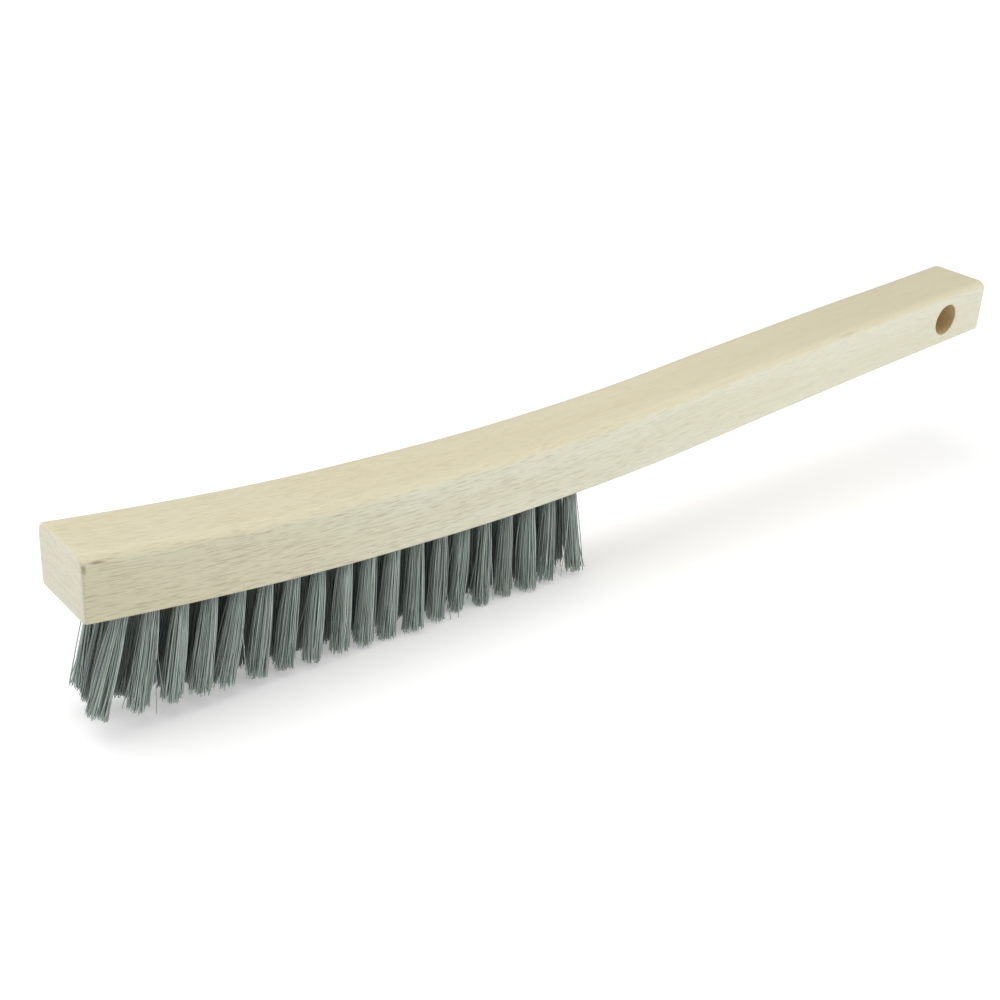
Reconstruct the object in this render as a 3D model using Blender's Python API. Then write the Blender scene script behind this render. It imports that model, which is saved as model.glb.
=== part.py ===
"""Curved-handle wire scratch brush: one beech block and three rows of anchored wire tufts.

Metres, +Z up, standing on the wire tips. +X runs from the head to the hanging end of the handle, and
the block's flat sides face -Y and +Y. The origin is under the middle of the brush, on the floor.
Everything is drawn in the block's own frame first: x from the head end, z from the lower head corner.
"""

import math

import bmesh
import bpy
import numpy as np
from mathutils import Matrix, Vector

MM = 0.001

# Wooden block
BLOCK_LENGTH = 350.0 * MM
BLOCK_WIDTH = 22.2 * MM
HEAD_THICKNESS = 18.1 * MM
SOLE_RADIUS = 950.0 * MM  # the wired underside, hollow seen from above
SOLE_ARC_RUN = 209.7 * MM  # length of that arc along x, then the grip runs on straight
SOLE_HEAD_SLOPE = math.radians(-8.84)
BACK_RADIUS = 974.0 * MM  # the upper face over the same stretch
BACK_ARC_RUN = 201.0 * MM
BACK_HEAD_SLOPE = math.radians(-8.31)
GRIP_BEND_START = 220.0 * MM  # from here the grip bends back very slightly
GRIP_BEND_RADIUS = 7200.0 * MM
TAIL_SETBACK = 1.6 * MM  # how much shorter the upper face is at the hanging end
UPPER_EDGE_RADIUS = 3.0 * MM
LOWER_EDGE_RADIUS = 1.6 * MM
END_EASE = 0.8 * MM  # small chamfer round both end faces
EDGE_STEPS = 4
STATIONS = 27

# Hanging hole, drilled through the flat sides
HANG_HOLE_DIAMETER = 11.1 * MM
HANG_HOLE_SETBACK = 20.9 * MM
HANG_HOLE_SIDES = 32

# Tufts: rows across the sole, columns along it
ROW_NAMES = ("near", "middle", "far")
COLUMNS = 19
FIRST_COLUMN = 11.6 * MM  # along the sole, from the head end
COLUMN_PITCH = 8.0 * MM
ROW_PITCH = 6.35 * MM
ROW_SPLAY = math.radians(1.0)  # outer rows lean outwards
COLUMN_FAN = math.radians(3.5)  # the end columns lean outwards, the middle one stands square
TRIM_LENGTH = 29.3 * MM  # wire standing out of the sole
TIP_DIAMETER = 4.9 * MM
HOLE_DIAMETER = 3.9 * MM
HOLE_DEPTH = 11.0 * MM
TUFT_SIDES = 10

# Flat-wire anchor across the fold of each tuft; its ends bite into the wood
ANCHOR_BITE = 0.5 * MM  # past the hole's wall at each end
ANCHOR_HEIGHT = 1.6 * MM
ANCHOR_THICKNESS = 0.5 * MM
ANCHOR_TURN = math.radians(45.0)  # set diagonally, so a row doesn't split along the grain
FOLD_THICKNESS = 1.2 * MM  # wire under the anchor

CLEARANCE = 0.3 * MM  # between each tuft with its anchor and the wood
CUT_OVERRUN = 3.0 * MM  # how far a cutter runs past the face it enters
STAND_TILT = math.radians(-1.9)  # head down, so that the brush balances on its curved trim


def remove_all_objects():
    for obj in list(bpy.data.objects):
        bpy.data.objects.remove(obj, do_unlink=True)


def principled(name, color, roughness, metallic):
    material = bpy.data.materials.new(name)
    material.use_nodes = True
    shader = material.node_tree.nodes["Principled BSDF"]
    shader.inputs["Base Color"].default_value = (*color, 1.0)
    shader.inputs["Roughness"].default_value = roughness
    shader.inputs["Metallic"].default_value = metallic
    return material


def new_object(name, mesh, parent=None):
    obj = bpy.data.objects.new(name, mesh)
    bpy.context.scene.collection.objects.link(obj)
    obj.parent = parent
    return obj


def arc_height(x, slope, radius):
    """Height gained over a run x by an arc that starts at a slope; a positive radius bends upwards."""
    heading = np.arcsin(math.sin(slope) + np.asarray(x) / radius)
    return radius * (math.cos(slope) - np.cos(heading))


def arc_heading(run, slope, radius):
    return math.asin(math.sin(slope) + run / radius)


def face_height(x, slope, radius, arc_run):
    """A long face of the block: an arc, then a straight, then the grip's slight reverse bend."""
    x = np.asarray(x, float)
    grip_slope = arc_heading(arc_run, slope, radius)
    straight = np.clip(x - arc_run, 0.0, GRIP_BEND_START - arc_run) * math.tan(grip_slope)
    bend = arc_height(np.maximum(x - GRIP_BEND_START, 0.0), grip_slope, -GRIP_BEND_RADIUS)
    return arc_height(np.minimum(x, arc_run), slope, radius) + straight + bend


def sole_height(x):
    return face_height(x, SOLE_HEAD_SLOPE, SOLE_RADIUS, SOLE_ARC_RUN)


def back_height(x):
    return HEAD_THICKNESS + face_height(x, BACK_HEAD_SLOPE, BACK_RADIUS, BACK_ARC_RUN)


def section_ring(inset):
    """One rounded cross-section as (y, share of the height, z offset from that share).

    The corners are quarter arcs, larger on the two upper edges. An inset draws it in all round.
    """
    half = BLOCK_WIDTH / 2 - inset
    corners = (
        (1, 1, UPPER_EDGE_RADIUS, 0.0),
        (-1, 1, UPPER_EDGE_RADIUS, 90.0),
        (-1, 0, LOWER_EDGE_RADIUS, 180.0),
        (1, 0, LOWER_EDGE_RADIUS, 270.0),
    )
    points = []
    for side, top, radius, start in corners:
        radius -= inset / 2
        turns = np.radians(start + np.linspace(0.0, 90.0, EDGE_STEPS + 1))
        centre_z = -(radius + inset) if top else radius + inset
        for turn in turns:
            points.append((side * (half - radius) + radius * math.cos(turn), top,
                           centre_z + radius * math.sin(turn)))
    return np.array(points)


def block_mesh():
    """Rounded sections lofted from the head to the hanging end, with flat n-gon ends."""
    runs = np.linspace(END_EASE, BLOCK_LENGTH - END_EASE, STATIONS)
    stations = [(0.0, END_EASE), *((run, 0.0) for run in runs), (BLOCK_LENGTH, END_EASE)]
    bm = bmesh.new()
    rings = []
    for run, inset in stations:
        ring = []
        for y, top, offset in section_ring(inset):
            low, high = float(sole_height(run)), float(back_height(run))
            z = (high if top else low) + offset
            lean = TAIL_SETBACK * (z - low) / (high - low) * run / BLOCK_LENGTH
            ring.append(bm.verts.new((run - lean, y, z)))
        rings.append(ring)
    count = len(rings[0])
    for ring, following in zip(rings, rings[1:]):
        for i in range(count):
            j = (i + 1) % count
            bm.faces.new((ring[i], ring[j], following[j], following[i]))
    bm.faces.new(rings[0])
    bm.faces.new(list(reversed(rings[-1])))
    bmesh.ops.recalc_face_normals(bm, faces=bm.faces)
    mesh = bpy.data.meshes.new("handle_block")
    bm.to_mesh(mesh)
    bm.free()
    return mesh


def turned_rings(profile, sides):
    """A closed turned solid about z, from (z, radius) points in rising order."""
    bm = bmesh.new()
    rings = []
    for z, radius in profile:
        turns = [2.0 * math.pi * i / sides for i in range(sides)]
        rings.append([bm.verts.new((radius * math.cos(t), radius * math.sin(t), z)) for t in turns])
    for ring, following in zip(rings, rings[1:]):
        for i in range(sides):
            j = (i + 1) % sides
            bm.faces.new((ring[i], ring[j], following[j], following[i]))
    bm.faces.new(list(reversed(rings[0])))
    bm.faces.new(rings[-1])
    return bm


def box_mesh(name, size, centre, turn):
    bm = bmesh.new()
    place = Matrix.Rotation(turn, 4, "Z") @ Matrix.Translation(centre) @ Matrix.Diagonal((*size, 1.0))
    bmesh.ops.create_cube(bm, size=1.0, matrix=place)
    mesh = bpy.data.meshes.new(name)
    bm.to_mesh(mesh)
    bm.free()
    return mesh


def joined_with_bar(name, body, clearance):
    """The turned body united with the anchor's bar, both along z with the sole at z = 0."""
    mesh = bpy.data.meshes.new(name)
    body.to_mesh(mesh)
    body.free()
    length = HOLE_DIAMETER + 2 * (ANCHOR_BITE + clearance)
    thickness = ANCHOR_THICKNESS + 2 * clearance
    height = ANCHOR_HEIGHT + 2 * clearance
    middle = -HOLE_DEPTH + CLEARANCE + FOLD_THICKNESS + ANCHOR_HEIGHT / 2
    bar = new_object("bar", box_mesh("bar", (length, thickness, height), (0, 0, middle), ANCHOR_TURN))
    template = new_object("template", mesh)
    union = template.modifiers.new("bar", "BOOLEAN")
    union.operation = "UNION"
    union.object = bar
    result = bpy.data.meshes.new_from_object(
        template.evaluated_get(bpy.context.evaluated_depsgraph_get())
    )
    result.name = name
    bpy.data.objects.remove(template)
    bpy.data.objects.remove(bar)
    return result


def tuft_mesh():
    """Wire bundle from the fold to the trim, with the anchor across the fold."""
    root = HOLE_DIAMETER / 2 - CLEARANCE
    profile = ((-HOLE_DEPTH + CLEARANCE, root), (0.0, root), (TRIM_LENGTH, TIP_DIAMETER / 2))
    mesh = joined_with_bar("wire_tuft", turned_rings(profile, TUFT_SIDES), 0.0)
    mesh.shade_smooth()
    mesh.set_sharp_from_angle(angle=math.radians(50))
    return mesh


def hole_cutter_mesh():
    """The blind hole with the slit that the anchor's ends cut, grown by the clearance."""
    radius = HOLE_DIAMETER / 2
    profile = ((-HOLE_DEPTH, radius), (CUT_OVERRUN, radius))
    return joined_with_bar("tuft_hole", turned_rings(profile, TUFT_SIDES), CLEARANCE)


def tuft_places():
    """(row name, column number, matrix) of each tuft; local z points out of the sole."""
    places = []
    middle_column = (COLUMNS - 1) / 2
    middle_row = (len(ROW_NAMES) - 1) / 2
    for column in range(COLUMNS):
        heading = SOLE_HEAD_SLOPE + (FIRST_COLUMN + column * COLUMN_PITCH) / SOLE_RADIUS
        x = SOLE_RADIUS * (math.sin(heading) - math.sin(SOLE_HEAD_SLOPE))
        fan = COLUMN_FAN * (column - middle_column) / middle_column
        for row, name in enumerate(ROW_NAMES):
            offset = row - middle_row
            upside_down = Matrix.Rotation(math.pi, 4, "X")
            lean = Matrix.Rotation(-heading - fan, 4, "Y") @ Matrix.Rotation(ROW_SPLAY * offset, 4, "X")
            place = Matrix.Translation((x, offset * ROW_PITCH, float(sole_height(x))))
            places.append((name, column + 1, place @ lean @ upside_down))
    return places


def cut(target, cutter, name):
    cutter.hide_render = True
    cutter.display_type = "WIRE"
    modifier = target.modifiers.new(name, "BOOLEAN")
    modifier.operation = "DIFFERENCE"
    modifier.object = cutter


def add_block(frame, places, material):
    mesh = block_mesh()
    mesh.materials.append(material)
    block = new_object("handle_block", mesh, frame)
    mesh.shade_smooth()
    mesh.set_sharp_from_angle(angle=math.radians(30))

    one_hole = hole_cutter_mesh()
    bm = bmesh.new()
    for _, _, place in places:
        first = len(bm.verts)
        bm.from_mesh(one_hole)
        bm.verts.ensure_lookup_table()
        bmesh.ops.transform(bm, matrix=place, verts=bm.verts[first:])
    holes = bpy.data.meshes.new("tuft_holes")
    bm.to_mesh(holes)
    bm.free()
    cut(block, new_object("tuft_hole_cutter", holes, frame), "tuft_holes")

    half = BLOCK_WIDTH / 2 + CUT_OVERRUN
    drill = turned_rings(((-half, HANG_HOLE_DIAMETER / 2), (half, HANG_HOLE_DIAMETER / 2)), HANG_HOLE_SIDES)
    x = BLOCK_LENGTH - HANG_HOLE_SETBACK
    centre = Vector((x, 0.0, float(sole_height(x) + back_height(x)) / 2))
    drill_place = Matrix.Translation(centre) @ Matrix.Rotation(math.pi / 2, 4, "X")
    bmesh.ops.transform(drill, matrix=drill_place, verts=drill.verts)
    hang = bpy.data.meshes.new("hang_hole")
    drill.to_mesh(hang)
    drill.free()
    cut(block, new_object("hang_hole_cutter", hang, frame), "hang_hole")
    return block


def add_tufts(frame, places, material):
    mesh = tuft_mesh()
    mesh.materials.clear()
    mesh.materials.append(material)
    tufts = []
    for row, column, place in places:
        tuft = new_object(f"wire_tuft_{row}_{column:02d}", mesh, frame)
        tuft.matrix_local = place
        tufts.append(tuft)
    return tufts


def stand_on_tips(frame, objects):
    """Tilt the brush to its balance and put the middle of its box over the origin, on the floor."""
    bpy.context.view_layer.update()
    tilt = Matrix.Rotation(STAND_TILT, 4, "Y")
    corners = [tilt @ obj.matrix_local @ v.co for obj in objects for v in obj.data.vertices]
    low = Vector([min(c[k] for c in corners) for k in range(3)])
    high = Vector([max(c[k] for c in corners) for k in range(3)])
    middle = (low + high) / 2
    frame.matrix_world = Matrix.Translation((-middle.x, -middle.y, -low.z)) @ tilt


def build():
    remove_all_objects()
    frame = new_object("brush_frame", None)
    beech = principled("beech", (0.70, 0.62, 0.44), 0.62, 0.0)
    wire = principled("steel_wire", (0.30, 0.32, 0.31), 0.35, 0.9)
    places = tuft_places()
    block = add_block(frame, places, beech)
    tufts = add_tufts(frame, places, wire)
    stand_on_tips(frame, [block, *tufts])


build()
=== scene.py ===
# Curved-handle wire scratch brush: raw beech block, three rows of steel wire tufts.
import math

import bpy
import numpy as np
from mathutils import Matrix, Vector


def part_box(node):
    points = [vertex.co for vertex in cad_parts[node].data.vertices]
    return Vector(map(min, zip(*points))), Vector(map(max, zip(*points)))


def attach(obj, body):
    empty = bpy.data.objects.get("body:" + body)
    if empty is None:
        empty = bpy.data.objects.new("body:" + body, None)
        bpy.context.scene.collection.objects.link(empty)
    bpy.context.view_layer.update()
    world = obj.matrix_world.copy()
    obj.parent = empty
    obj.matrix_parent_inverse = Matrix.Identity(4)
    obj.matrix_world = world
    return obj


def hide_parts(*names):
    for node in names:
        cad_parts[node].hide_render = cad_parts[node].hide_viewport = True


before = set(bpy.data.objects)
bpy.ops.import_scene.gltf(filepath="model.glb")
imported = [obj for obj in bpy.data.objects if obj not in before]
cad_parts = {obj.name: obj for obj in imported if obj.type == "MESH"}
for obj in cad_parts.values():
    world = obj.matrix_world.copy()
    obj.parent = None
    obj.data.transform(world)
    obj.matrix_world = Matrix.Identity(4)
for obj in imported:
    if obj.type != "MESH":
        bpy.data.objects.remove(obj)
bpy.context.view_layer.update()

mm = 0.001
bodyName = "root"

for spareLamp in [o for o in bpy.data.objects if o.type in {"LIGHT", "CAMERA"}]:
    bpy.data.objects.remove(spareLamp, do_unlink=True)


# Makes a mesh object from an array of points and one of faces, and finishes it as a piece.
def addPiece(name, points, faces, material, nodes):
    mesh = bpy.data.meshes.new(name)
    mesh.from_pydata(points.tolist(), [], faces.tolist())
    mesh.update()
    return finishPiece(name, mesh, material, nodes)


# Links a finished mesh, gives it its one material, attaches it to its body and hides the CAD nodes it
# replaces.
def finishPiece(name, mesh, material, nodes):
    piece = bpy.data.objects.new(name, mesh)
    bpy.context.scene.collection.objects.link(piece)
    mesh.materials.clear()
    mesh.materials.append(material)
    mesh.shade_smooth()
    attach(piece, bodyName)
    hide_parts(*nodes)
    return piece


# One number per point or face, for a material to read.
def setNumber(mesh, name, values, domain="POINT"):
    layer = mesh.attributes.new(name, "FLOAT", domain)
    layer.data.foreach_set("value", np.ascontiguousarray(values, dtype=np.float32))


# One vector per point, for a material to read.
def setVector(mesh, name, values):
    layer = mesh.attributes.new(name, "FLOAT_VECTOR", "POINT")
    layer.data.foreach_set("vector", np.ascontiguousarray(values, dtype=np.float32).ravel())


# All points of a mesh as rows of x, y, z.
def meshPoints(mesh):
    points = np.empty(len(mesh.vertices) * 3)
    mesh.vertices.foreach_get("co", points)
    return points.reshape(-1, 3)


# Short way to write a node tree: each call adds a node and returns its output.
class Nodes:
    def __init__(self, name):
        self.material = bpy.data.materials.new(name)
        self.material.use_nodes = True
        self.tree = self.material.node_tree
        self.shader = self.tree.nodes["Principled BSDF"]

    def add(self, kind, inputs=(), output=0, **settings):
        node = self.tree.nodes.new(kind)
        for key, value in settings.items():
            setattr(node, key, value)
        for key, value in dict(inputs).items():
            self.feed(node.inputs[key], value)
        return node.outputs[output]

    def feed(self, socket, value):
        if isinstance(value, bpy.types.NodeSocket):
            self.tree.links.new(value, socket)
        else:
            socket.default_value = value

    def math(self, operation, first, second=0.0, clamp=False):
        return self.add("ShaderNodeMath", {0: first, 1: second}, operation=operation, use_clamp=clamp)

    def vector(self, operation, first, second=(0.0, 0.0, 0.0), output=0):
        return self.add("ShaderNodeVectorMath", {0: first, 1: second}, output, operation=operation)

    def attribute(self, name, output="Fac"):
        return self.add("ShaderNodeAttribute", output=output, attribute_name=name)

    def noise(self, where, scale, detail=2.0, roughness=0.5, distortion=0.0, output=0):
        return self.add("ShaderNodeTexNoise", {"Vector": where, "Scale": scale, "Detail": detail,
                                               "Roughness": roughness, "Distortion": distortion}, output)

    def remap(self, value, low, high, toLow=0.0, toHigh=1.0, smooth=True):
        kind = "SMOOTHSTEP" if smooth else "LINEAR"
        return self.add("ShaderNodeMapRange", {"Value": value, "From Min": low, "From Max": high,
                                               "To Min": toLow, "To Max": toHigh}, interpolation_type=kind)

    def mix(self, factor, first, second, blend="MIX"):
        node = self.tree.nodes.new("ShaderNodeMix")
        node.data_type = "RGBA"
        node.blend_type = blend
        self.feed(node.inputs[0], factor)
        self.feed(node.inputs[6], first)
        self.feed(node.inputs[7], second)
        return node.outputs[2]

    def bump(self, height, strength, distance):
        return self.add("ShaderNodeBump", {"Height": height, "Strength": strength, "Distance": distance})


# Screen colour 0 to 255 as the shader's linear colour.
def linear(red, green, blue):
    shares = np.array([red, green, blue]) / 255.0
    low = shares / 12.92
    high = ((shares + 0.055) / 1.055) ** 2.4
    return (*np.where(shares <= 0.04045, low, high).tolist(), 1.0)


beechLook = {
    "side": (228, 227, 206),      # quarter-sawn sides, in the middle
    "sideHeadShaded": (212, 208, 179),  # the same at the head, a little warmer and darker: painted shade
    # painted shade: the sides a little darker at the hanging end
    "sideTailShaded": (220, 220, 201),
    "back": (224, 216, 187),      # flat-sawn upper and lower faces
    # painted shade: the upper and lower faces darker towards the hanging end
    "backTailShaded": (217, 209, 180),
    "warm": (206, 190, 152),
    "fleck": (160, 142, 108),
    "knot": (128, 104, 72),
    "endGrain": (226, 222, 204),
    # reddish wall of the hanging hole, darker than the faces as painted shade in the hole
    "boreTintAndShade": (208, 184, 140),
    "roughness": 0.62,
    "driftScale": 70.0,           # broad tone drifts: noise cells per metre across the grain, and amount
    "driftAmount": 0.16,
    "lineScale": 520.0,           # growth lines
    "lineAmount": 0.14,
    "streakScale": 3000.0,        # fine dark streaks
    "streakAmount": 0.50,
    "fleckAmount": 0.75,
    "poreScale": 2600.0,          # on the end faces
    "poreAmount": 0.40,
    "ringScale": 420.0,
    "ringAmount": 0.30,
    "fibreScale": 2600.0,         # raised fibres that catch the light
    "fibreDepth": 0.06 * mm,
    "rayLength": 8.5 * mm,        # cell that a ray fleck is drawn in, along the grain
    "rayWidth": 0.30 * mm,
    "tailFigure": 0.35,           # how strong the figure stays at the hanging end, and on the back
    "backFigure": 0.50,
}

# small natural marks: place along, across and up the block in mm, length, width, strength
beechMarks = [
    ((4.2, -10.9, 16.6), 3.2, 0.75, 0.95),
    ((0.7, -11.0, 15.2), 0.9, 1.8, 0.55),
    ((196.0, -9.0, 18.0), 7.0, 1.0, 0.24),
    ((234.0, -10.2, 18.2), 7.0, 1.3, 0.55),
    ((273.0, -10.4, 17.8), 7.0, 1.1, 0.36),
]


# Pale beech from the grain attribute (metres along, across and up the board).
# Broad tone drifts along the board, thin growth lines run with it, and short dark lens-shaped ray
# flecks are the middles of stretched cells. End faces show pores and faint rings instead.
def makeBeech():
    look = beechLook
    n = Nodes("rawBeech")
    grain = n.attribute("grain", "Vector")
    endFace = n.attribute("endGrain")
    bore = n.attribute("boreTintAndShade")
    along = n.add("ShaderNodeMapping", {"Vector": grain, "Scale": (0.06, 1.0, 1.0)})

    run = n.add("ShaderNodeSeparateXYZ", {"Vector": grain})
    # The sides run darker at the head and at the hanging end, and the upper and lower faces darker towards
    # the hanging end: painted shade.
    sideTone = n.mix(n.remap(run, -0.02, 0.14), linear(*look["sideHeadShaded"]), linear(*look["side"]))
    sideTone = n.mix(n.remap(run, 0.22, 0.36), sideTone, linear(*look["sideTailShaded"]))
    backTone = n.mix(n.remap(run, 0.17, 0.33), linear(*look["back"]), linear(*look["backTailShaded"]))
    upright = n.math("ABSOLUTE", n.attribute("faceUp"))
    colour = n.mix(n.remap(upright, 0.25, 0.85), sideTone, backTone)
    drift = n.remap(n.noise(along, look["driftScale"], 3.0, 0.55), 0.38, 0.72)
    lines = n.remap(n.noise(along, look["lineScale"], 3.0, 0.6, 0.15), 0.40, 0.72)
    streaks = n.remap(n.noise(along, look["streakScale"], 2.0, 0.5), 0.48, 0.74)
    colour = n.mix(n.math("MULTIPLY", drift, look["driftAmount"]), colour, linear(*look["warm"]))
    colour = n.mix(n.math("MULTIPLY", lines, look["lineAmount"]), colour, linear(*look["warm"]))
    figure = n.math("MULTIPLY", n.remap(run, 0.04, 0.26, 1.0, look["tailFigure"]),
                    n.remap(upright, 0.25, 0.85, 1.0, look["backFigure"]))
    streaks = n.math("MULTIPLY", n.math("MULTIPLY", streaks, figure), look["streakAmount"])
    colour = n.mix(streaks, colour, linear(*look["fleck"]))

    flecks = None
    for size, shift, share in ((1.0, 0.0, 0.60), (0.62, 0.37, 0.60)):
        scale = (1 / (look["rayLength"] * size), 1 / (look["rayWidth"] * size), 1 / (look["rayWidth"] * size))
        cell = n.add("ShaderNodeMapping", {"Vector": grain, "Scale": scale, "Location": (shift,) * 3})
        wander = n.vector("SCALE", n.noise(along, 260.0, 1.0, output=1))
        wander.node.inputs["Scale"].default_value = 0.6
        cell = n.vector("ADD", cell, wander)
        voronoi = n.add("ShaderNodeTexVoronoi", {"Vector": cell, "Scale": 1.0, "Randomness": 0.95})
        chance = n.add("ShaderNodeSeparateColor", {"Color": voronoi.node.outputs["Color"]})
        chosen = n.math("LESS_THAN", chance, share)
        core = n.remap(voronoi, 0.08, 0.34, 1.0, 0.0)
        depth = n.remap(chance.node.outputs[1], 0.0, 1.0, 0.35, 1.0, smooth=False)
        spot = n.math("MULTIPLY", n.math("MULTIPLY", core, chosen), depth)
        flecks = spot if flecks is None else n.math("MAXIMUM", flecks, spot)
    sideOnly = n.math("SUBTRACT", 1.0, endFace, clamp=True)
    flecks = n.math("MULTIPLY", n.math("MULTIPLY", flecks, sideOnly), figure)
    colour = n.mix(n.math("MULTIPLY", flecks, look["fleckAmount"]), colour, linear(*look["fleck"]))

    marks = None
    for (x, y, z), length, width, strength in beechMarks:
        off = n.vector("SUBTRACT", grain, (x * mm, y * mm, z * mm))
        off = n.vector("MULTIPLY", off, (1 / (length * mm), 1 / (width * mm), 1 / (width * mm)))
        away = n.vector("LENGTH", off, output=1)
        ragged = n.math("ADD", away, n.math("MULTIPLY", n.noise(along, 900.0, 2.0), 0.7))
        spot = n.math("MULTIPLY", n.remap(ragged, 0.55, 1.35, 1.0, 0.0), strength)
        marks = spot if marks is None else n.math("MAXIMUM", marks, spot)
    colour = n.mix(marks, colour, linear(*look["knot"]))

    pores = n.add("ShaderNodeTexVoronoi", {"Vector": grain, "Scale": look["poreScale"], "Randomness": 1.0})
    pores = n.remap(pores, 0.18, 0.36, 1.0, 0.0)
    across = n.add("ShaderNodeMapping", {"Vector": grain, "Scale": (1.0, 0.35, 1.6)})
    rings = n.remap(n.noise(across, look["ringScale"], 2.0), 0.40, 0.75, 0.0, look["ringAmount"])
    ends = n.mix(rings, linear(*look["endGrain"]), linear(*look["warm"]))
    ends = n.mix(n.math("MULTIPLY", pores, look["poreAmount"]), ends, linear(*look["fleck"]))
    colour = n.mix(endFace, colour, ends)
    # Inside the hanging hole: a reddish tone, and darkening that is painted shade.
    colour = n.mix(bore, colour, n.mix(n.remap(lines, 0.0, 1.0, 0.0, 0.25), linear(*look["boreTintAndShade"]),
                                       linear(*look["fleck"])))
    n.feed(n.shader.inputs["Base Color"], colour)

    fine = n.add("ShaderNodeMapping", {"Vector": grain, "Scale": (0.05, 1.0, 1.0)})
    fibre = n.noise(fine, look["fibreScale"], 3.0, 0.6)
    rough = n.math("ADD", look["roughness"] - 0.06, n.math("MULTIPLY", fibre, 0.16))
    n.feed(n.shader.inputs["Roughness"], rough)
    n.shader.inputs["IOR"].default_value = 1.45
    height = n.math("SUBTRACT", n.math("MULTIPLY", fibre, 0.5), n.math("MULTIPLY", flecks, 1.0))
    n.feed(n.shader.inputs["Normal"], n.bump(height, 0.35, look["fibreDepth"]))
    return n.material


wireLook = {
    "bright": (200, 212, 203),
    "dull": (116, 125, 118),
    "blue": (150, 165, 168),
    "brown": (138, 132, 118),
    "shade": (50, 53, 50),        # painted shadow down at the wood, and on the middle row
    "roughness": 0.34,
    "blueAmount": 0.55,           # in the wires that carry it
    "brownAmount": 0.50,
    "stainAmount": 0.35,
    "stainScale": 900.0,          # noise cells per metre across the wire
    "rootShade": 0.35,
    "drawScale": 9000.0,          # drawing marks along the wire
    "drawDepth": 0.02 * mm,
}


# Drawn steel wire: one tone per wire, with painted shade that makes it dark and dull at the root and lets it
# brighten towards the cut tip.
def makeSteel():
    look = wireLook
    n = Nodes("drawnSteel")
    tone = n.attribute("wireTone")
    tint = n.attribute("wireTint")
    reach = n.attribute("wireReach")
    place = n.add("ShaderNodeTexCoord", output="Object")
    tall = n.add("ShaderNodeMapping", {"Vector": place, "Scale": (1.0, 1.0, 0.25)})
    stain = n.noise(tall, look["stainScale"], 3.0, 0.6)
    colour = n.mix(tone, linear(*look["dull"]), linear(*look["bright"]))
    colour = n.mix(n.remap(tint, 0.70, 1.0, 0.0, look["blueAmount"]), colour, linear(*look["blue"]))
    colour = n.mix(n.remap(tint, 0.08, 0.0, 0.0, look["brownAmount"]), colour, linear(*look["brown"]))
    colour = n.mix(n.remap(stain, 0.55, 0.75, 0.0, look["stainAmount"]), colour, linear(*look["dull"]))
    # Painted shade: darker towards the root, where the wood and the other tufts shade the wires.
    colour = n.mix(n.remap(reach, 0.30, 0.0, 0.0, look["rootShade"]), colour, linear(*look["shade"]))
    # Painted shade on the middle row, which stands between the outer two.
    colour = n.mix(n.attribute("inner"), colour, linear(*look["shade"]))
    n.feed(n.shader.inputs["Base Color"], colour)
    n.shader.inputs["Metallic"].default_value = 0.9
    rough = n.math("ADD", look["roughness"], n.math("MULTIPLY", stain, 0.18))
    n.feed(n.shader.inputs["Roughness"], rough)
    stretched = n.add("ShaderNodeMapping", {"Vector": place, "Scale": (1.0, 1.0, 0.08)})
    draw = n.noise(stretched, look["drawScale"], 2.0)
    n.feed(n.shader.inputs["Normal"], n.bump(draw, 0.25, look["drawDepth"]))
    return n.material


blockShape = {
    "length": 350.0 * mm,
    "width": 22.2 * mm,
    "headThickness": 18.1 * mm,
    "soleRadius": 950.0 * mm,
    "soleArcRun": 209.7 * mm,
    "soleHeadSlope": math.radians(-8.84),
    "backRadius": 974.0 * mm,
    "backArcRun": 201.0 * mm,
    "backHeadSlope": math.radians(-8.31),
    "gripBendStart": 220.0 * mm,
    "gripBendRadius": 7200.0 * mm,
    "tailSetback": 1.3 * mm,
    "tailSkew": 1.5 * mm,         # hanging end sawn out of square, near side longer
    "upperEdge": 3.0 * mm,
    "lowerEdge": 1.5 * mm,
    "endEase": 0.9 * mm,
    "standTilt": math.radians(-1.9),
    "stationPitch": 2.5 * mm,
    "edgeWaver": ((0.05, 41.0, 0.6), (0.04, 97.0, 2.0)),  # share of the radius, turns along x, phase
    "holeDiameter": 11.1 * mm,
    "holeSetback": 20.9 * mm,
    "holeFlare": 0.25 * mm,
    "tornAt": 128.0,              # torn lip: its middle and spread in degrees round the hole
    "tornSpread": 16.0,
    "tuftHoleDiameter": 3.9 * mm,
    "tuftHoleDepth": 11.0 * mm,
    "tuftHoleGap": 0.3 * mm,      # left under each tuft's fold
    "tuftCutLength": 15.0 * mm,   # of the cutter, which runs out past the wood
    "grainFollow": 0.85,          # how much of its sweep the grain of the board follows
}


# Rise of a circular arc over a run x: radius times the change in the cosine of its heading.
def arcHeight(x, slope, radius):
    heading = np.arcsin(math.sin(slope) + x / radius)
    return radius * (math.cos(slope) - np.cos(heading))


# Arc over the head, then straight, then a slight reverse arc in the grip.
def faceHeight(x, slope, radius, arcRun):
    b = blockShape
    gripSlope = math.asin(math.sin(slope) + arcRun / radius)
    straight = np.clip(x - arcRun, 0.0, b["gripBendStart"] - arcRun) * math.tan(gripSlope)
    bend = arcHeight(np.maximum(x - b["gripBendStart"], 0.0), gripSlope, -b["gripBendRadius"])
    return arcHeight(np.minimum(x, arcRun), slope, radius) + straight + bend


# Height of the wired underside at x, in the block's own frame.
def soleHeight(x):
    b = blockShape
    return faceHeight(x, b["soleHeadSlope"], b["soleRadius"], b["soleArcRun"])


# Height of the upper face at x: the same kind of curve, one head thickness higher.
def backHeight(x):
    b = blockShape
    return b["headThickness"] + faceHeight(x, b["backHeadSlope"], b["backRadius"], b["backArcRun"])


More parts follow.
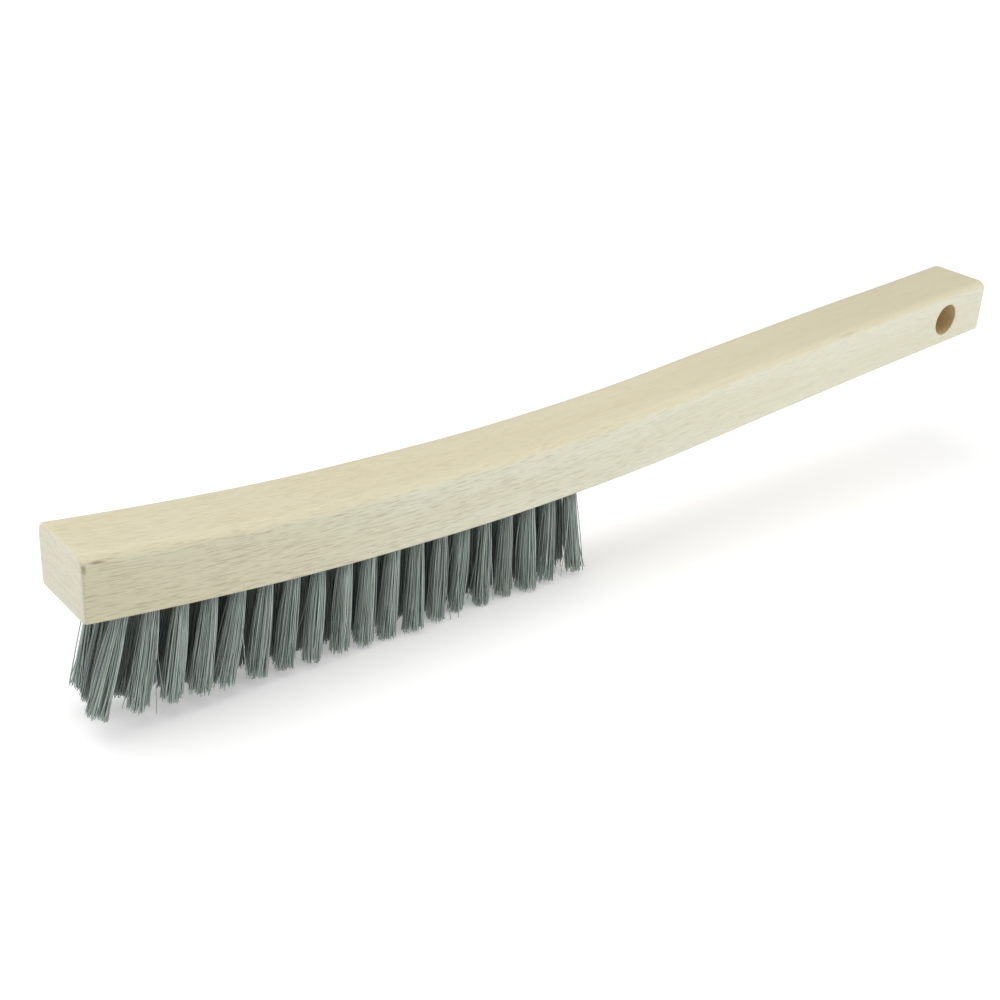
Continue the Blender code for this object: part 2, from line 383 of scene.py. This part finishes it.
# Rounded rectangle as shares: four quarter arcs joined by flats, going round from the far top.
def sectionShape(upper, lower, flats):
    half = blockShape["width"] / 2
    turns = np.linspace(0.0, math.pi / 2, 9)[None, :]
    ups = upper[:, None]
    downs = lower[:, None]
    corners = []
    for k, (side, top) in enumerate(((1, 1), (-1, 1), (-1, 0), (1, 0))):
        radius = ups if top else downs
        turn = turns + k * math.pi / 2
        y = side * (half - radius) + radius * np.cos(turn)
        z = (-radius if top else radius) + radius * np.sin(turn)
        corners.append((y, z, np.full_like(y, float(top))))
    pieces = []
    for k in range(4):
        y0, z0, t0 = corners[k]
        y1, z1, t1 = corners[(k + 1) % 4]
        pieces.append((y0, z0, t0))
        share = np.linspace(0.0, 1.0, flats + 2)[None, 1:-1]
        flat = [a[:, -1:] * (1 - share) + b[:, :1] * share for a, b in ((y0, y1), (z0, z1), (t0, t1))]
        pieces.append(flat)
    return [np.concatenate([p[i] for p in pieces], axis=1) for i in range(3)]


# Rounded sections carried from head to tail; the end rings shrink in a quarter circle.
def makeBlockMesh():
    b = blockShape
    ease = b["endEase"]
    easeTurns = np.linspace(0.0, math.pi / 2, 5)
    headRuns = ease * (1 - np.cos(easeTurns[:-1]))
    inset = ease * (1 - np.sin(easeTurns[:-1]))
    count = int(round((b["length"] - 2 * ease) / b["stationPitch"]))
    middle = np.linspace(ease, b["length"] - ease, count)
    runs = np.concatenate([headRuns, middle, (b["length"] - headRuns)[::-1]])
    insets = np.concatenate([inset, 0 * middle, inset[::-1]])
    waver = sum(share * np.sin(runs * turns + phase) for share, turns, phase in b["edgeWaver"])
    y, z, top = sectionShape(b["upperEdge"] * (1 + waver), b["lowerEdge"] * (1 - waver), 7)
    low = soleHeight(runs)[:, None]
    high = backHeight(runs)[:, None]
    centre = (low + high) / 2
    height = low + (high - low) * top + z
    shrinkY = 1 - insets[:, None] / (b["width"] / 2)
    shrinkZ = 1 - insets[:, None] / ((high - low) / 2)
    y = y * shrinkY
    height = centre + (height - centre) * shrinkZ
    lean = b["tailSetback"] * (height - low) / (high - low) * runs[:, None] / b["length"]
    skew = b["tailSkew"] * (0.5 - y / b["width"]) * runs[:, None] / b["length"]
    x = runs[:, None] - lean + skew
    points = np.stack([x, y, height], axis=2)
    rings, around = x.shape
    index = np.arange(rings * around).reshape(rings, around)
    nextIndex = np.roll(index, -1, axis=1)
    quads = np.stack([index[:-1], nextIndex[:-1], nextIndex[1:], index[1:]], axis=2).reshape(-1, 4)
    faces = quads.tolist() + [index[0][::-1].tolist(), index[-1].tolist()]
    mesh = bpy.data.meshes.new("block")
    mesh.from_pydata(points.reshape(-1, 3).tolist(), [], faces)
    return mesh


# A turned solid: circles of given radii in the across/beside plane at each axis point, capped.
def closedTube(axisPoints, radii, sides, across, beside):
    turns = 2 * math.pi * np.arange(sides) / sides
    ring = np.cos(turns)[:, None] * across + np.sin(turns)[:, None] * beside
    points = axisPoints[:, None, :] + np.asarray(radii).reshape(len(axisPoints), -1, 1) * ring[None, :, :]
    index = np.arange(points.shape[0] * sides).reshape(-1, sides)
    nextIndex = np.roll(index, -1, axis=1)
    quads = np.stack([index[:-1], nextIndex[:-1], nextIndex[1:], index[1:]], axis=2).reshape(-1, 4)
    return points.reshape(-1, 3), quads.tolist() + [index[0][::-1].tolist(), index[-1].tolist()]


# Root, tip and direction of a tuft, from the end rings of its CAD solid.
def tuftAxis(name):
    points = np.unique(np.round(meshPoints(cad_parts[name].data), 7), axis=0)
    centre = points.mean(axis=0)
    direction = np.linalg.svd(points - centre, full_matrices=False)[2][0]
    direction *= -np.sign(direction[2])
    reach = (points - centre) @ direction
    root = points[reach < reach.min() + 0.2 * mm].mean(axis=0)
    tip = points[reach > reach.max() - 0.2 * mm].mean(axis=0)
    return root, tip, (tip - root) / np.linalg.norm(tip - root)


# Takes a closed solid out of the target, as a Boolean difference, and returns the cutter.
def cutWith(target, points, faces, name):
    mesh = bpy.data.meshes.new(name)
    mesh.from_pydata(points.tolist(), [], faces)
    cutter = bpy.data.objects.new(name, mesh)
    bpy.context.scene.collection.objects.link(cutter)
    modifier = target.modifiers.new(name, "BOOLEAN")
    modifier.operation = "DIFFERENCE"
    modifier.object = cutter
    return cutter


# The block turned to its standing tilt and set on the CAD block's corner, then bored and drilled.
# Each tuft hole runs along its tuft's axis. The finished mesh gets the attributes that beech reads.
def makeHandle(material, axes):
    b = blockShape
    mesh = makeBlockMesh()
    local = meshPoints(mesh)
    tilt = np.array(Matrix.Rotation(b["standTilt"], 3, "Y"))
    turned = local @ tilt.T
    shift = np.array(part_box("handle_block")[0]) - turned.min(axis=0)
    mesh.vertices.foreach_set("co", (turned + shift).ravel())
    mesh.update()
    raw = bpy.data.objects.new("rawBlock", mesh)
    bpy.context.scene.collection.objects.link(raw)

    # hanging hole: straight bore with a small flare at both mouths, and a torn lip on one side
    x = b["length"] - b["holeSetback"]
    centre = tilt @ np.array([x, 0.0, (soleHeight(x) + backHeight(x)) / 2]) + shift
    half = b["width"] / 2
    radius = b["holeDiameter"] / 2
    flare = b["holeFlare"]
    depths = np.array([-half - 2 * mm, -half, -half + 0.3 * flare, -half + flare,
                       half - flare, half - 0.3 * flare, half, half + 2 * mm])
    grow = np.array([1.6, 1.0, 0.35, 0.0, 0.0, 0.35, 1.0, 1.6]) * flare
    sides = 96
    turns = 2 * math.pi * np.arange(sides) / sides
    torn = np.exp(-((np.degrees(turns) - b["tornAt"]) / b["tornSpread"]) ** 2)
    torn *= 0.6 + 0.4 * np.sin(turns * 37)
    radii = radius + grow[:, None] * (1 + 1.5 * torn[None, :] * (grow[:, None] > 0))
    boreAxis = centre + depths[:, None] * np.array([0.0, 1.0, 0.0])
    borePoints, boreFaces = closedTube(boreAxis, radii, sides, np.array([1.0, 0, 0]), np.array([0, 0, 1.0]))
    boreFaces = [face[::-1] for face in boreFaces]
    cutters = [cutWith(raw, borePoints, boreFaces, "boreCutter")]

    allPoints, allFaces, first = [], [], 0
    for root, _, direction in axes.values():
        across = np.cross(direction, [0.0, 1.0, 0.0])
        across /= np.linalg.norm(across)
        beside = np.cross(direction, across)
        reach = np.array([0.0, b["tuftCutLength"]])
        points, faces = closedTube(root + (reach[:, None] - b["tuftHoleGap"]) * direction,
                                   [b["tuftHoleDiameter"] / 2] * 2, 16, across, beside)
        allPoints.append(points)
        allFaces += [[first + i for i in face] for face in faces]
        first += len(points)
    cutters.append(cutWith(raw, np.concatenate(allPoints), allFaces, "tuftHoleCutter"))
    result = bpy.data.meshes.new_from_object(raw.evaluated_get(bpy.context.evaluated_depsgraph_get()))
    for spare in [raw, *cutters]:
        bpy.data.objects.remove(spare)

    # grain frame: along the board, following most of its sweep
    points = meshPoints(result)
    board = (points - shift) @ tilt
    middle = (soleHeight(board[:, 0]) + backHeight(board[:, 0])) / 2 - b["headThickness"] / 2
    grain = np.stack([board[:, 0], board[:, 1], board[:, 2] - b["grainFollow"] * middle], axis=1)
    setVector(result, "grain", grain)
    up = np.empty(len(result.vertices) * 3)
    result.vertex_normals.foreach_get("vector", up)
    setNumber(result, "faceUp", up.reshape(-1, 3) @ tilt @ np.array([0.0, 0.0, 1.0]))
    normals = np.empty(len(result.polygons) * 3)
    result.polygons.foreach_get("normal", normals)
    normals = normals.reshape(-1, 3)
    centres = np.empty(len(result.polygons) * 3)
    result.polygons.foreach_get("center", centres)
    centres = centres.reshape(-1, 3)
    setNumber(result, "endGrain", np.clip((np.abs(normals[:, 0]) - 0.6) / 0.3, 0, 1), "FACE")
    # faces of the hanging hole, where the reddish tone and the painted shade go
    inBore = np.hypot(centres[:, 0] - centre[0], centres[:, 2] - centre[2]) < radius + 0.15 * flare
    inBore &= np.abs(normals[:, 1]) < 0.7
    setNumber(result, "boreTintAndShade", inBore.astype(float), "FACE")
    piece = finishPiece("beechHandle", result, material, ["handle_block"])
    result.set_sharp_from_angle(angle=math.radians(32))
    return piece


tuftShape = {
    "wires": 150,
    "wireDiameter": 0.26 * mm,
    "sides": 6,
    "goldenAngle": 2.399963,     # radians from one wire to the next, which spreads them evenly
    "rootRadius": 1.82 * mm,     # at the wood
    "rootJitter": 0.04,          # share of that radius
    "tipRadius": 3.05 * mm,
    "tipSpread": (0.85, 1.18),   # how much the tufts differ in it
    "tipRagged": 1.05 * mm,      # how unevenly the wires end
    "tipJitter": 0.22 * mm,
    "shortShare": 0.06,          # wires cut clearly short, and by how much
    "shortBy": (0.5 * mm, 3.0 * mm),
    "domeShare": 0.105,          # how much shorter a wire ends for each unit it stands off the axis
    "bow": 0.35 * mm,
    "floorGap": 0.25 * mm,       # no wire's middle line comes lower than this
    "rootDepth": 8.0 * mm,       # wire hidden in the hole, down to the anchor
    "clumps": 6,
    "clumpPull": 0.35,
    "clumpPlace": 0.62,          # share of the tuft's radius that the clumps stand at
    "clumpJitter": 0.12,
    "clumpGrow": 1.15,           # the clumps stand this much farther out at the tips
    "clumpUneven": 0.35 * mm,    # how unevenly they end
    "strayShare": 0.03,
    "straySplay": 1.9 * mm,
    "tuftLean": 0.55 * mm,
    "leans": {                   # tufts that stand well out of line, along the brush at the tip
        "wire_tuft_near_01": -2.8 * mm,
        "wire_tuft_far_01": 1.5 * mm,
        "wire_tuft_near_05": -1.0 * mm,
        "wire_tuft_near_19": 1.4 * mm,
    },
    "toneMiddle": 0.54,          # 0 is the dull wire colour, 1 the bright one
    "toneSpread": 0.18,
    "innerShade": 0.55,          # painted shade: how dark the middle row stands between the outer two
    "seed": 44,
}


# Centre lines of one tuft's wires as an array (wire, point, xyz).
# Each wire starts at a sunflower point of the hole's disc and runs to a tip whose offset is the
# same point scaled up, pulled to its clump's middle, and shifted by the tuft's lean. A half-sine
# bow bends it on the way.
def wirePaths(name, axis, rng):
    t = tuftShape
    root, tip, direction = axis
    count = t["wires"]
    length = np.linalg.norm(tip - root)
    trim = length - (blockShape["tuftHoleDepth"] - blockShape["tuftHoleGap"])
    across = np.cross(direction, [0.0, 1.0, 0.0])
    across /= np.linalg.norm(across)
    beside = np.cross(direction, across)
    k = np.arange(count)
    radius = np.sqrt((k + 0.5) / count)
    turn = k * t["goldenAngle"] + rng.uniform(0, 2 * math.pi)
    start = np.stack([radius * np.cos(turn), radius * np.sin(turn)], axis=1)
    start += rng.normal(0, t["rootJitter"], start.shape)

    spread = t["tipRadius"] * rng.uniform(*t["tipSpread"])
    clumpTurn = np.arange(t["clumps"]) * 2 * math.pi / t["clumps"] + rng.uniform(0, 2 * math.pi)
    clumpAt = t["clumpPlace"] * np.stack([np.cos(clumpTurn), np.sin(clumpTurn)], axis=1)
    clumpAt += rng.normal(0, t["clumpJitter"], clumpAt.shape)
    nearest = np.argmin(np.linalg.norm(start[:, None] - clumpAt[None], axis=2), axis=1)
    pull = t["clumpPull"] * rng.uniform(0.3, 1.0, t["clumps"])[nearest][:, None]
    end = spread * (start * (1 - pull) + clumpAt[nearest] * pull * t["clumpGrow"])
    end += rng.normal(0, t["tipJitter"], end.shape)
    end += rng.normal(0, t["tuftLean"], 2) + np.array([t["leans"].get(name, 0.0), 0.0])
    stray = rng.uniform(size=count) < t["strayShare"]
    end += stray[:, None] * rng.normal(0, t["straySplay"], end.shape)
    start = start * t["rootRadius"]

    clumpShort = rng.normal(0, t["clumpUneven"], t["clumps"])[nearest]
    reach = trim - 0.1 * mm + clumpShort - np.abs(rng.normal(0, t["tipRagged"], count))
    reach -= (rng.uniform(size=count) < t["shortShare"]) * rng.uniform(*t["shortBy"], count)
    reach -= t["domeShare"] * np.linalg.norm(end, axis=1)

    shares = np.array([0.0, 0.16, 0.36, 0.58, 0.80, 1.0])
    bow = rng.normal(0, t["bow"], (count, 2))
    offset = start[:, None, :] + (end - start)[:, None, :] * (shares ** 1.25)[None, :, None]
    offset = offset + bow[:, None, :] * np.sin(math.pi * shares)[None, :, None]
    depth = shares[None, :] * reach[:, None]
    offset = np.concatenate([start[:, None, :] * 0.92, offset], axis=1)
    depth = np.concatenate([np.full((count, 1), -t["rootDepth"]), depth], axis=1)
    mouth = tip - trim * direction
    paths = mouth + depth[..., None] * direction + offset[..., :1] * across + offset[..., 1:] * beside
    paths[..., 2] = np.maximum(paths[..., 2], t["floorGap"])
    along = np.concatenate([[0.0], shares])
    return paths, along


# Thin tubes round many paths at once: at each point a circle square to the local direction.
def tubesFromPaths(paths, radius, sides):
    wires, steps, _ = paths.shape
    tangent = np.gradient(paths, axis=1)
    tangent /= np.linalg.norm(tangent, axis=2, keepdims=True)
    across = np.cross(tangent, [0.0, 1.0, 0.0])
    across /= np.linalg.norm(across, axis=2, keepdims=True)
    beside = np.cross(tangent, across)
    turns = 2 * math.pi * np.arange(sides) / sides
    ring = np.cos(turns)[:, None] * across[:, :, None, :] + np.sin(turns)[:, None] * beside[:, :, None, :]
    points = paths[:, :, None, :] + radius * ring
    index = np.arange(wires * steps * sides).reshape(wires, steps, sides)
    nextIndex = np.roll(index, -1, axis=2)
    walls = np.stack([index[:, :-1], nextIndex[:, :-1], nextIndex[:, 1:], index[:, 1:]], axis=3)
    low, high = index[:, 0], index[:, -1]
    caps = [low[:, [3, 2, 1, 0]], low[:, [5, 4, 3, 0]], high[:, [0, 1, 2, 3]], high[:, [0, 3, 4, 5]]]
    faces = np.concatenate([walls.reshape(-1, 4), *caps])
    return points.reshape(-1, 3), faces


# One tuft: its wires as tubes, with a tone and a tint per wire and the share of its length per point.
def makeTuft(name, axis, material, rng):
    t = tuftShape
    paths, along = wirePaths(name, axis, rng)
    points, faces = tubesFromPaths(paths, t["wireDiameter"] / 2, t["sides"])
    piece = addPiece(name + "_wires", points, faces, material, [name])
    perWire = len(along) * t["sides"]
    tone = np.clip(rng.normal(t["toneMiddle"], t["toneSpread"], t["wires"]), 0, 1)
    setNumber(piece.data, "wireTone", np.repeat(tone, perWire))
    setNumber(piece.data, "wireTint", np.repeat(rng.uniform(size=t["wires"]), perWire))
    setNumber(piece.data, "wireReach", np.tile(np.repeat(along, t["sides"]), t["wires"]))
    # painted shade for the middle row, fading a little towards the tips
    inner = t["innerShade"] * ("middle" in name) * (1 - 0.35 * along)
    setNumber(piece.data, "inner", np.tile(np.repeat(inner, t["sides"]), t["wires"]))
    piece.data.set_sharp_from_angle(angle=math.radians(70))
    return piece


stageLook = {
    "floorColour": 0.86,
    "floorSize": 80.0,
    "floorGlow": 0.30,         # seen directly and in reflections, so that the floor reads white
    "glowFar": 0.55,           # and more of it far away, where the lamps don't reach
    "glowReach": (0.35, 1.1),  # metres over which it grows
    "skyStrength": 0.38,
}

lamps = {
    "overheadSoftbox": {"place": (-0.35, 0.20, 1.10), "size": 1.1, "power": 7.9},
    "rightSoftbox": {"place": (0.55, -0.75, 0.30), "size": 0.6, "power": 4.3},
    "leftSoftbox": {"place": (-1.00, 0.15, 0.40), "size": 0.7, "power": 2.2},
}

cameraView = {
    "place": (-0.3010, -0.2805, 0.2288),
    "azimuth": -42.885,
    "elevation": 27.608,
    "roll": 6.268,
    "lens": 53.82,
    "sensor": 36.0,
}


# White ground that keeps the shadow, clear from below, and an even sky that looks pure white.
def makeStage():
    s = stageLook
    n = Nodes("paleFloor")
    n.shader.inputs["Base Color"].default_value = (s["floorColour"],) * 3 + (1.0,)
    n.shader.inputs["Roughness"].default_value = 0.9
    n.shader.inputs["Specular IOR Level"].default_value = 0.0
    away = n.vector("LENGTH", n.add("ShaderNodeTexCoord", output="Object"), output=1)
    strength = n.remap(away, *s["glowReach"], s["floorGlow"], s["floorGlow"] + s["glowFar"])
    glow = n.add("ShaderNodeEmission", {"Color": (1.0, 1.0, 1.0, 1.0), "Strength": strength})
    path = n.add("ShaderNodeLightPath").node
    seen = n.math("MAXIMUM", path.outputs["Is Camera Ray"], path.outputs["Is Glossy Ray"])
    both = n.add("ShaderNodeAddShader", {0: n.shader.outputs[0], 1: glow})
    mixed = n.add("ShaderNodeMixShader", {0: seen, 1: n.shader.outputs[0], 2: both})
    fromBelow = n.math("MULTIPLY", path.outputs["Is Camera Ray"],
                       n.add("ShaderNodeNewGeometry").node.outputs["Backfacing"])
    clear = n.add("ShaderNodeBsdfTransparent")
    oneSided = n.add("ShaderNodeMixShader", {0: fromBelow, 1: mixed, 2: clear})
    n.tree.links.new(oneSided, n.tree.nodes["Material Output"].inputs["Surface"])
    half = s["floorSize"] / 2
    mesh = bpy.data.meshes.new("floor")
    mesh.from_pydata([(-half, -half, 0), (half, -half, 0), (half, half, 0), (-half, half, 0)], [],
                     [(0, 1, 2, 3)])
    mesh.materials.append(n.material)
    floor = bpy.data.objects.new("floor", mesh)
    bpy.context.scene.collection.objects.link(floor)

    world = bpy.data.worlds.new("studioSky")
    world.use_nodes = True
    tree = world.node_tree
    light = tree.nodes["Background"]
    backdrop = tree.nodes.new("ShaderNodeBackground")
    for background, strength in ((light, s["skyStrength"]), (backdrop, 1.0)):
        background.inputs["Color"].default_value = (1.0, 1.0, 1.0, 1.0)
        background.inputs["Strength"].default_value = strength
    either = tree.nodes.new("ShaderNodeMixShader")
    tree.links.new(tree.nodes.new("ShaderNodeLightPath").outputs["Is Camera Ray"], either.inputs[0])
    tree.links.new(light.outputs[0], either.inputs[1])
    tree.links.new(backdrop.outputs[0], either.inputs[2])
    tree.links.new(either.outputs[0], tree.nodes["World Output"].inputs["Surface"])
    bpy.context.scene.world = world


# Turns a lamp so that its -Z axis points at the target.
def aim(obj, target):
    obj.rotation_euler = (Vector(target) - obj.location).to_track_quat("-Z", "Y").to_euler()


# Square softboxes, each aimed at the middle of the brush.
def makeLamps():
    for name, lamp in lamps.items():
        data = bpy.data.lights.new(name, "AREA")
        data.shape = "SQUARE"
        data.size = lamp["size"]
        data.energy = lamp["power"]
        obj = bpy.data.objects.new(name, data)
        bpy.context.scene.collection.objects.link(obj)
        obj.location = lamp["place"]
        aim(obj, (0.0, 0.0, 0.04))


# Looks along the azimuth, down by the elevation, then rolls about its own axis.
def makeCamera():
    c = cameraView
    data = bpy.data.cameras.new("viewCamera")
    data.lens = c["lens"]
    data.sensor_width = c["sensor"]
    data.clip_start = 0.01
    camera = bpy.data.objects.new("viewCamera", data)
    bpy.context.scene.collection.objects.link(camera)
    turn = (Matrix.Rotation(math.radians(c["azimuth"]), 4, "Z")
            @ Matrix.Rotation(math.radians(90.0 - c["elevation"]), 4, "X")
            @ Matrix.Rotation(math.radians(c["roll"]), 4, "Z"))
    camera.matrix_world = Matrix.Translation(c["place"]) @ turn
    bpy.context.scene.camera = camera


makeCamera()
makeStage()
makeLamps()
bpy.context.scene.view_settings.view_transform = "Standard"
print("camera, floor and lamps are set")

beech = makeBeech()
steel = makeSteel()
tuftNames = sorted(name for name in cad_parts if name.startswith("wire_tuft"))
axes = {name: tuftAxis(name) for name in tuftNames}
makeHandle(beech, axes)
print("handle is made")

rng = np.random.default_rng(tuftShape["seed"])
for name in tuftNames:
    makeTuft(name, axes[name], steel, rng)
print(len(tuftNames), "tufts are made")
